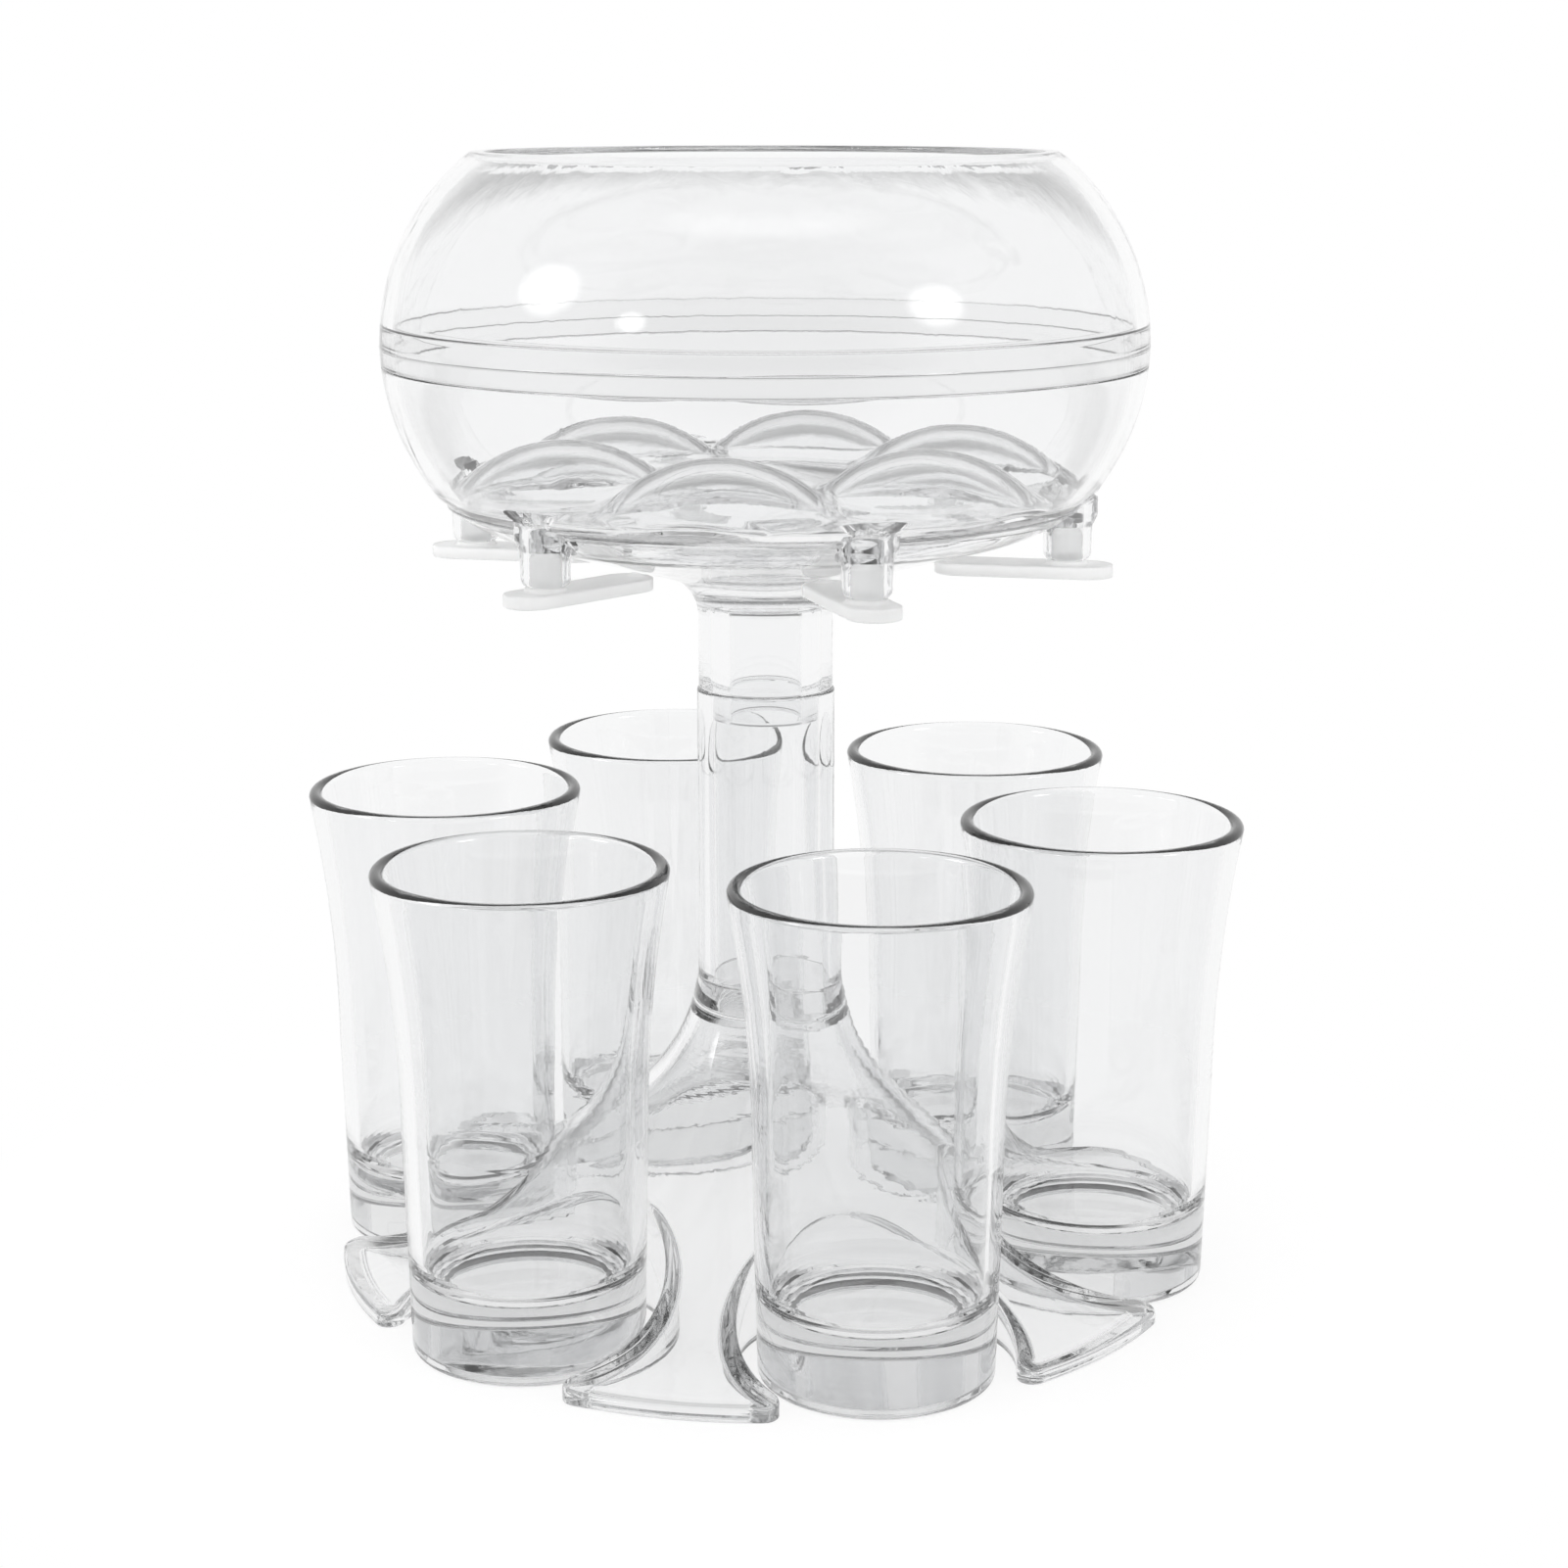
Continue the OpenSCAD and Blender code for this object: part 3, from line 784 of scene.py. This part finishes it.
def base_height(t, inset):
    """Height of the base's curve at radius r, drawn in by inset: a flare round the
    stem's foot and the long sweep that it runs into."""
    flare_c = Vector((t.stem + t.flare, t.flare_z))
    sweep_c = circles_meet(flare_c, t.sweep - t.flare, (t.base, t.edge), t.sweep)
    out = (flare_c - sweep_c).normalized() * (t.flare + inset)
    meet_r = (flare_c + out).x

    def below(centre, radius, r):
        return centre.y - np.sqrt(np.maximum((radius + inset) ** 2 - (r - centre.x) ** 2, 0))

    def height(r):
        r = np.asarray(r, float)
        return np.where(r < meet_r, below(flare_c, t.flare, r), below(sweep_c, t.sweep, r))

    return height


def petal_outline(ring, recess, reach, point, counts):
    """Half of a petal's outline seen from above, with a recess on +X: along the recess
    from its innermost point, round the petal's point, and along the outer edge to the
    petal's middle line. Each point has the direction that faces out of the petal."""
    around, tip, edge = counts
    centre = np.array([ring, 0.0])
    corner = np.array(circles_meet((0, 0), reach - point, centre, recess + point))
    to_recess = math.degrees(math.atan2(*(corner - centre)[::-1]))
    outward = math.degrees(math.atan2(*corner[::-1]))
    runs = ((centre, recess, 180, to_recess, around, -1),
            (corner, point, to_recess - 180, outward, tip, 1),
            (np.zeros(2), reach, outward, PITCH / 2, edge, 1))
    places, facing = [], []
    for middle, radius, start, end, steps, side in runs:
        first = 1 if places else 0
        for a in np.radians(np.linspace(start, end, steps + 1))[first:]:
            d = np.array([math.cos(a), math.sin(a)])
            places.append(middle + radius * d)
            facing.append(side * d)
    return np.array(places), np.array(facing)


class HalfPetal:
    """Points and faces of one half petal, which are then mirrored and turned."""

    def __init__(self):
        self.points, self.faces = [], []

    def rows(self, rows):
        """Joins rows of points into faces. The rows have one length."""
        rows = [np.asarray(row, float) for row in rows]
        start, wide = len(self.points), len(rows[0])
        for row in rows:
            self.points.extend(map(tuple, row))
        for i in range(len(rows) - 1):
            for k in range(wide - 1):
                a = start + i * wide + k
                self.faces.append((a, a + 1, a + wide + 1, a + wide))

    def patch(self, rim, lines, hub_lines, hub_r, across, height):
        """The surface between the rim and the petal's middle line and hub circle."""
        polar_r = np.hypot(rim[:lines, 0], rim[:lines, 1])
        polar_a = np.arctan2(rim[:lines, 1], rim[:lines, 0])
        middle = math.radians(PITCH / 2)
        reach = math.hypot(*rim[lines - 1])
        rows = []
        for i in range(lines):
            if i <= hub_lines:
                end_r, end_a = hub_r, middle * i / hub_lines
            else:
                end_r = hub_r + (reach - hub_r) * (i - hub_lines) / (lines - 1 - hub_lines)
                end_a = middle
            part = np.linspace(0, 1, across + 1)
            part = part + 0.5 * part * (1 - part) * (part - 1)
            r = polar_r[i] + (end_r - polar_r[i]) * part
            a = polar_a[i] + (end_a - polar_a[i]) * part
            rows.append(np.stack([r * np.cos(a), r * np.sin(a), height(r)], axis=-1))
        rows[-1][:, :2] = rim[lines - 1:lines + across]
        rows[-1][:, 2] = height(np.hypot(rows[-1][:, 0], rows[-1][:, 1]))
        self.rows(rows)

    def whole(self):
        """All twelve halves."""
        points = np.array(self.points)
        made, faces = [], []
        for place in range(PLACES):
            a = math.radians(FIRST_PLACE + place * PITCH)
            spin = np.array([[math.cos(a), -math.sin(a)], [math.sin(a), math.cos(a)]])
            for flip in (1, -1):
                start = sum(len(m) for m in made)
                half = points.copy()
                half[:, 1] *= flip
                half[:, :2] = half[:, :2] @ spin.T
                made.append(half)
                faces += [tuple(start + k for k in face[::flip]) for face in self.faces]
        return np.concatenate(made), faces


class SHOTS_OT_base(Operator):
    """Makes the base: flare, petals, recess walls and the hollow underneath."""
    bl_idname = "shots.base"
    bl_label = "Base"

    def execute(self, context):
        t, c = context.scene.stand_sizes, context.scene.cup_sizes
        counts = around, tip, edge = 54, 8, 22
        hub_lines, lines, hub_r = 16, around + tip + 1, 24 * MM
        foot_round, fillet, outer_wall = 0.35 * MM, 0.9 * MM, 3.7 * MM
        top, under = base_height(t, 0), base_height(t, t.wall)
        half = HalfPetal()
        rim, facing = petal_outline(c.ring, t.recess, t.base, t.point, counts)
        inner, inner_facing = petal_outline(c.ring, t.recess + t.wall, t.base - outer_wall,
                                            fillet, counts)

        def at(places, z):
            return np.column_stack([places, np.broadcast_to(z, len(places))])

        half.patch(rim - facing * t.lip, lines, hub_lines, hub_r, edge, top)
        rows = []
        for a in np.radians(np.linspace(0, 90, 6)):
            places = rim - facing * t.lip * (1 - math.sin(a))
            rows.append(at(places, top(np.hypot(*places.T)) - t.lip * (1 - math.cos(a))))
        upper = rows[-1][:, 2]
        for part in (0.03, 0.25, 0.5, 0.75, 0.95, 1.0):
            rows.append(at(rim, upper + (foot_round - upper) * part))
        for a in np.radians((30, 60, 90)):
            rows.append(at(rim - facing * foot_round * (1 - math.cos(a)),
                           foot_round * (1 - math.sin(a))))
        half.rows(rows)
        land = at(rim - facing * foot_round, 0.0)
        rise = at(inner + inner_facing * foot_round, 0.0)
        half.rows([land, land + (rise - land) * 0.1, land + (rise - land) * 0.9, rise])
        rows = [rise, at(inner, foot_round)]
        ceiling = under(np.hypot(*inner.T)) - fillet
        for part in (0.04, 0.33, 0.66, 0.96, 1.0):
            rows.append(at(inner, foot_round + (ceiling - foot_round) * part))
        for a in np.radians((22, 45, 68, 90)):
            places = inner - inner_facing * fillet * (1 - math.cos(a))
            rows.append(at(places, under(np.hypot(*places.T)) - fillet * (1 - math.sin(a))))
        half.rows(rows)
        half.patch(inner - inner_facing * fillet, lines, hub_lines, hub_r, edge, under)
        points, faces = half.whole()

        socket = t.spigot + 0.05 * MM
        ledge = stem_low.z - 0.05 * MM
        stem_r, clear = t.stem + 0.1 * MM, 1.2 * MM

        def curve(start, end, steps, height, level):
            """Points of the base's curve that stay clear below a level."""
            made = [(r, float(height(r))) for r in np.linspace(start, end, steps).tolist()]
            return [(r, z, 0.0) for r, z in made if z < level - clear]

        corners = (curve(hub_r, stem_r, 30, top, t.socket_z)
                   + [(stem_r, t.socket_z, 0.25 * MM), (socket, t.socket_z, 0.25 * MM),
                      (socket, ledge, 0.2 * MM), (t.hub_bore, ledge, 0.2 * MM)]
                   + curve(t.hub_bore, hub_r, 26, under, ledge))
        hub = filled(rounded(corners), closed=False)
        segments = 2 * PLACES * hub_lines
        angles = np.linspace(0, 2 * math.pi, segments, endpoint=False)
        rings = np.array([[(r * math.cos(a), r * math.sin(a), z) for a in angles]
                          for r, z in hub])
        for i in range(len(hub) - 1):
            a = len(points) + i * segments
            faces += band(a, a + segments, segments)
        mesh = mesh_from("petal_base", np.concatenate([points, rings.reshape(-1, 3)]), faces)
        mark_glued(mesh, (socket - BY_WALL, socket + 0.25 * MM, ledge, t.socket_z),
                   (t.hub_bore + 0.2 * MM, socket, ledge - BY_LEVEL, ledge + BY_LEVEL),
                   (socket, t.stem - 0.2 * MM, t.socket_z - BY_LEVEL, t.socket_z + BY_LEVEL))
        placed(context, "petal_base", mesh, "base", "stand_plastic")
        return {"FINISHED"}


# ---- Cups ----


class SHOTS_OT_cups(Operator):
    """Turns six shot cups with a thick solid foot and a round rim."""
    bl_idname = "shots.cups"
    bl_label = "Cups"

    def execute(self, context):
        c = context.scene.cup_sizes
        rise, out = c.height - c.waist_z, c.rim - c.waist
        bend = (rise * rise + out * out) / (2 * out)
        slope = (c.waist - c.foot) / c.waist_z

        def side(inset, z0, steps):
            low = [(c.foot + slope * z0 - inset, z0)]
            top = math.degrees(math.asin((c.height - c.wall / 2 - c.waist_z) / (bend + inset)))
            return low + arc((c.waist + bend, c.waist_z), bend + inset, 180, 180 - top, steps)

        outside, inside = side(0, 1.2 * MM, 26), side(c.wall, c.floor + c.corner, 26)
        rim_c = (Vector(outside[-1]) + Vector(inside[-1])) / 2
        corner = arc((inside[0][0] - c.corner, c.floor + c.corner), c.corner, 0, -90, 10)
        hollow, land = 1.0 * MM, c.foot - 3 * MM
        corners = ([(0, hollow, 0), (land - hollow, hollow, 0.5 * MM),
                    (land, 0, 0.4 * MM), (c.foot, 0, 1.1 * MM)] + plain(outside[:-1])
                   + plain(arc(rim_c, c.wall / 2, 8, 172, 10)) + plain(inside[::-1][1:])
                   + plain(corner[1:]) + [(0, c.floor, 0)])
        outline = filled(rounded(corners))
        for place in range(PLACES):
            a = math.radians(FIRST_PLACE + place * PITCH)
            name = f"shot_cup_{place + 1}"
            mesh = turned(name, outline, CUP_TURN,
                          (c.ring * math.cos(a), c.ring * math.sin(a)))
            placed(context, name, mesh, f"cup_{place + 1}", "cup_plastic")
        return {"FINISHED"}


# ---- Stoppers ----


def slab(low, high, half_width, bottom, top, steps=16):
    """A flat tab with round ends, as an outline and its extrusion."""
    outline = (arc((high - half_width, 0), half_width, -90, 90, steps)
               + arc((low + half_width, 0), half_width, 90, 270, steps))
    count = len(outline)
    points = [(x, y, z) for z in (bottom, top) for x, y in outline]
    ends = [tuple(range(count))[::-1], tuple(range(count, 2 * count))]
    return points, ends + band(0, count, count)


class SHOTS_OT_stoppers(Operator):
    """Makes six soft stoppers: a plug with a collar on a pull tab with a bead."""
    bl_idname = "shots.stoppers"
    bl_label = "Stoppers"

    def execute(self, context):
        s, p = context.scene.stopper_sizes, context.scene.spout_sizes
        low_z, root_z, collar_z = s.top_z - s.thick, s.top_z - 1 * MM, p.end_z - 0.05 * MM
        work = bmesh.new()
        points, faces = slab(-s.reach_in, s.reach_out, s.width / 2, low_z, s.top_z)
        verts = [work.verts.new(point) for point in points]
        for face in faces:
            work.faces.new([verts[k] for k in face])
        plug = p.bore - 0.06 * MM
        for outline in ([(0, root_z), (3.6 * MM, root_z), (3.4 * MM, collar_z),
                         (0, collar_z)],
                        [(0, root_z), (plug, root_z), (plug, s.plug_top - 1.2 * MM),
                         (plug - 0.9 * MM, s.plug_top), (0, s.plug_top)]):
            part = turned("part", outline, PLUG_TURN)
            work.from_mesh(part)
            bpy.data.meshes.remove(part)
        ball = bmesh.ops.create_uvsphere(work, u_segments=32, v_segments=20, radius=1.0)
        shape = (Matrix.Translation((s.bead - s.reach_in + 0.7 * MM, 0, low_z + s.thick / 2))
                 @ Matrix.Diagonal((s.bead, s.width * 0.3, s.bead, 1.0)))
        bmesh.ops.transform(work, matrix=shape, verts=ball["verts"])
        mesh = bpy.data.meshes.new("stopper")
        work.to_mesh(mesh)
        work.free()
        rough = bpy.data.objects.new("stopper_work", mesh)
        context.scene.collection.objects.link(rough)
        remesh = rough.modifiers.new("One soft body", "REMESH")
        remesh.mode, remesh.voxel_size = "VOXEL", 0.24 * MM
        smooth = rough.modifiers.new("Soft edges", "SMOOTH")
        smooth.factor, smooth.iterations = 0.5, 4
        shown = rough.evaluated_get(context.evaluated_depsgraph_get())
        soft = bpy.data.meshes.new_from_object(shown)
        bpy.data.objects.remove(rough)
        for place in range(PLACES):
            name = f"pull_stopper_{place + 1}"
            mesh = soft.copy()
            mesh.name = name
            mesh.transform(Matrix.Rotation(math.radians(FIRST_PLACE + place * PITCH), 4, "Z")
                           @ Matrix.Translation((p.ring, 0, 0)))
            shade_smooth(mesh)
            placed(context, name, mesh, f"stopper_{place + 1}", "soft_white")
        return {"FINISHED"}


# ---- Stage ----


def soft_lamp(context, name, turn, way, size, power):
    """A soft rectangular lamp that faces the bowl. Its way is its place round the camera's
    line, which is turned by turn, and its height, in degrees."""
    away, aim = 1.1, Vector((0, 0, 0.15))
    data = bpy.data.lights.new(name, "AREA")
    data.shape, data.size, data.size_y, data.energy = "RECTANGLE", *size, power
    lamp = bpy.data.objects.new(name, data)
    context.scene.collection.objects.link(lamp)
    a, e = math.radians(turn + way[0]), math.radians(way[1])
    towards = Vector((math.sin(a) * math.cos(e), -math.cos(a) * math.cos(e), math.sin(e)))
    lamp.location = aim + towards * away
    lamp.rotation_euler = towards.to_track_quat("Z", "Y").to_euler()
    # The lamp is hidden in reflections, where painted highlights in the world stand in for it
    lamp.visible_glossy = lamp.visible_transmission = False


def seen_ray(tree):
    """1 for a ray that shows the background: straight, mirrored or through the plastic."""
    path = tree.node("ShaderNodeLightPath")
    either = tree.maths("MAXIMUM", path.out("Is Camera Ray"), path.out("Is Glossy Ray"))
    return tree.maths("MAXIMUM", either, path.out("Is Transmission Ray")), path


class SHOTS_OT_stage(Operator):
    """Makes the floor, soft light, background and camera."""
    bl_idname = "shots.stage"
    bl_label = "Stage"

    def execute(self, context):
        look = context.scene.stage_look
        scene = context.scene
        scene.view_settings.view_transform = "Standard"
        cycles, bounces = scene.cycles, 28  # enough for two cups, the stem and the bowl
        cycles.max_bounces = cycles.transmission_bounces = cycles.glossy_bounces = bounces
        cycles.transparent_max_bounces = 40
        cycles.caustics_reflective = cycles.caustics_refractive = True

        world = bpy.data.worlds.new("White room")
        scene.world = world
        world.use_nodes = True
        tree = Tree(world.node_tree)
        seen, path = seen_ray(tree)
        way = tree.node("ShaderNodeTexCoord").out("Generated")
        up = tree.node("ShaderNodeSeparateXYZ", None, {0: way}).out("Z")
        turn = math.degrees(look.turn)

        def towards(azimuth, tilt):
            a, e = math.radians(turn + azimuth), math.radians(tilt)
            face = (math.sin(a) * math.cos(e), -math.cos(a) * math.cos(e), math.sin(e))
            return tree.node("ShaderNodeVectorMath", {"operation": "DOT_PRODUCT"},
                             {0: way, 1: face}).out("Value")

        # Painted shade: above the backdrop the room is dark, and pale again towards the
        # ceiling.
        # Only rays that have passed two walls see it, so it paints dark edges on the domes.
        passed, one_wall, two_walls = path.out("Transmission Depth"), 1.5, 3.5
        strip = ramp(tree, up, (0.02, 1.0), (0.08, look.strip), (0.22, look.strip),
                     (0.32, look.ceiling))
        backdrop = ramp(tree, towards(180, 15), (0.45, 0.0), (0.8, 1.0))
        above = 1.0 - backdrop * tree.maths("GREATER_THAN", passed, two_walls) * (1.0 - strip)
        # The room behind the camera is a little grey, and seen through a wall it is painted
        # three times as grey: painted shade on what shows through the plastic
        behind = ramp(tree, towards(0, 12), (0.45, 0.0), (0.85, 1.0 - look.room))
        behind = 1.0 - behind * (tree.maths("GREATER_THAN", passed, one_wall) * 2.0 + 1.0)
        # Painted highlights: glows where the softboxes, a small lamp and a lit ceiling would
        # be mirrored. They light nothing and show only in reflections off outer faces.
        left, right, small = (-71, 25), (53, 22), (-40, 17)
        painted_highlights = 0.0
        for place, outer, inner in ((left, 0.982, 0.9995), (right, 0.986, 0.9995),
                                    (small, 0.998, 0.9999)):
            painted_highlights = painted_highlights + ramp(tree, towards(*place), (outer, 0.0), (inner, 1.0))
        painted_overhead_band = ramp(tree, up, (0.83, 0.0), (0.88, 1.0), (0.91, 1.0), (0.96, 0.0))
        painted_overhead_band = painted_overhead_band * ramp(tree, towards(0, 30), (0.60, 0.0), (0.80, 1.0))
        outside = tree.maths("LESS_THAN", passed, 0.5) * path.out("Is Glossy Ray")
        room = above * behind + (painted_highlights * 8.0 + painted_overhead_band * 1.6) * outside
        white = (1, 1, 1, 1)
        shown = blend(tree, path.out("Is Camera Ray"), room, white)
        view = tree.node("ShaderNodeBackground", None, {"Color": shown, "Strength": 1.0})
        light = tree.node("ShaderNodeBackground", None, {"Color": white, "Strength": 0.95})
        both = tree.node("ShaderNodeMixShader", None, {0: seen, 1: light, 2: view})
        tree.node("ShaderNodeOutputWorld", None, {"Surface": both})

        floor = bpy.data.meshes.new("floor")
        edge, level, touch = 3.0, -0.05 * MM, 0.4 * MM
        floor.from_pydata([(x * edge, y * edge, level) for x, y in
                           ((-1, -1), (1, -1), (1, 1), (-1, 1))], [], [(0, 1, 2, 3)])
        mat = bpy.data.materials.new("pale_floor")
        mat.use_nodes = True
        tree = Tree(mat.node_tree)
        seen, path = seen_ray(tree)
        place = tree.node("ShaderNodeTexCoord").out("Object")
        away = tree.node("ShaderNodeVectorMath", {"operation": "LENGTH"},
                         {0: place}).out("Value")
        far = ramp(tree, away, (0.06, 0.70), (0.16, 1.0))
        # Painted contact shadow: dark where a foot all but touches the floor, less so under
        # the petals' outer edge
        contact_shadow_fade = ramp(tree, away, (0.071, 1.0), (0.0745, 0.3))
        contact_shadow_mask = tree.maths("LESS_THAN", path.out("Ray Length"), touch) * contact_shadow_fade
        paper = tree.node("ShaderNodeBsdfDiffuse", None, {
            "Color": blend(tree, contact_shadow_mask, opaque(look.floor), opaque(look.painted_contact_shadow))})
        bright = tree.node("ShaderNodeEmission", None, {"Color": white, "Strength": 1.0})
        both = tree.node("ShaderNodeMixShader", None, {
            0: seen * far * (1.0 - contact_shadow_mask), 1: paper, 2: bright})
        tree.node("ShaderNodeOutputMaterial", None, {"Surface": both})
        floor.materials.append(mat)
        floor = bpy.data.objects.new("floor", floor)
        scene.collection.objects.link(floor)

        soft_lamp(context, "left softbox", turn, left, (0.52, 0.36), 6.0)
        soft_lamp(context, "right softbox", turn, right, (0.36, 0.24), 4.0)

        data = bpy.data.cameras.new("camera")
        data.sensor_width, data.lens = 36.0, look.lens
        data.clip_start, data.clip_end = 0.01, 20.0
        camera = bpy.data.objects.new("camera", data)
        scene.collection.objects.link(camera)
        camera.location = (look.distance * math.sin(look.turn),
                           -look.distance * math.cos(look.turn), look.height)
        camera.rotation_euler = (math.radians(90) - look.pitch, 0, look.turn - look.pan)
        scene.camera = camera
        return {"FINISHED"}


STEPS = (SHOTS_OT_upper_bowl, SHOTS_OT_lower_bowl, SHOTS_OT_dish, SHOTS_OT_stem,
         SHOTS_OT_base, SHOTS_OT_cups, SHOTS_OT_stoppers, SHOTS_OT_stage)
GROUPS = {"bowl_sizes": BowlSizes, "spout_sizes": SpoutSizes, "stand_sizes": StandSizes,
          "cup_sizes": CupSizes, "stopper_sizes": StopperSizes, "finishes": Finishes,
          "stage_look": StageLook}


class SHOTS_PT_panel(Panel):
    bl_idname = "SHOTS_PT_panel"
    bl_label = "Party shot dispenser"
    bl_space_type = "VIEW_3D"
    bl_region_type = "UI"
    bl_category = "Dispenser"

    def draw(self, context):
        for step in STEPS:
            self.layout.operator(step.bl_idname)
        for group in GROUPS:
            box = self.layout.box()
            for name in GROUPS[group].__annotations__:
                box.prop(getattr(context.scene, group), name)


def register():
    for cls in (*GROUPS.values(), *STEPS, SHOTS_PT_panel):
        bpy.utils.register_class(cls)
    for name, cls in GROUPS.items():
        setattr(bpy.types.Scene, name, PointerProperty(type=cls))


def unregister():
    for name in GROUPS:
        delattr(bpy.types.Scene, name)
    for cls in reversed((*GROUPS.values(), *STEPS, SHOTS_PT_panel)):
        bpy.utils.unregister_class(cls)


def main():
    register()
    for step in STEPS:
        family, name = step.bl_idname.split(".")
        getattr(getattr(bpy.ops, family), name)()


if __name__ == "__main__":
    main()
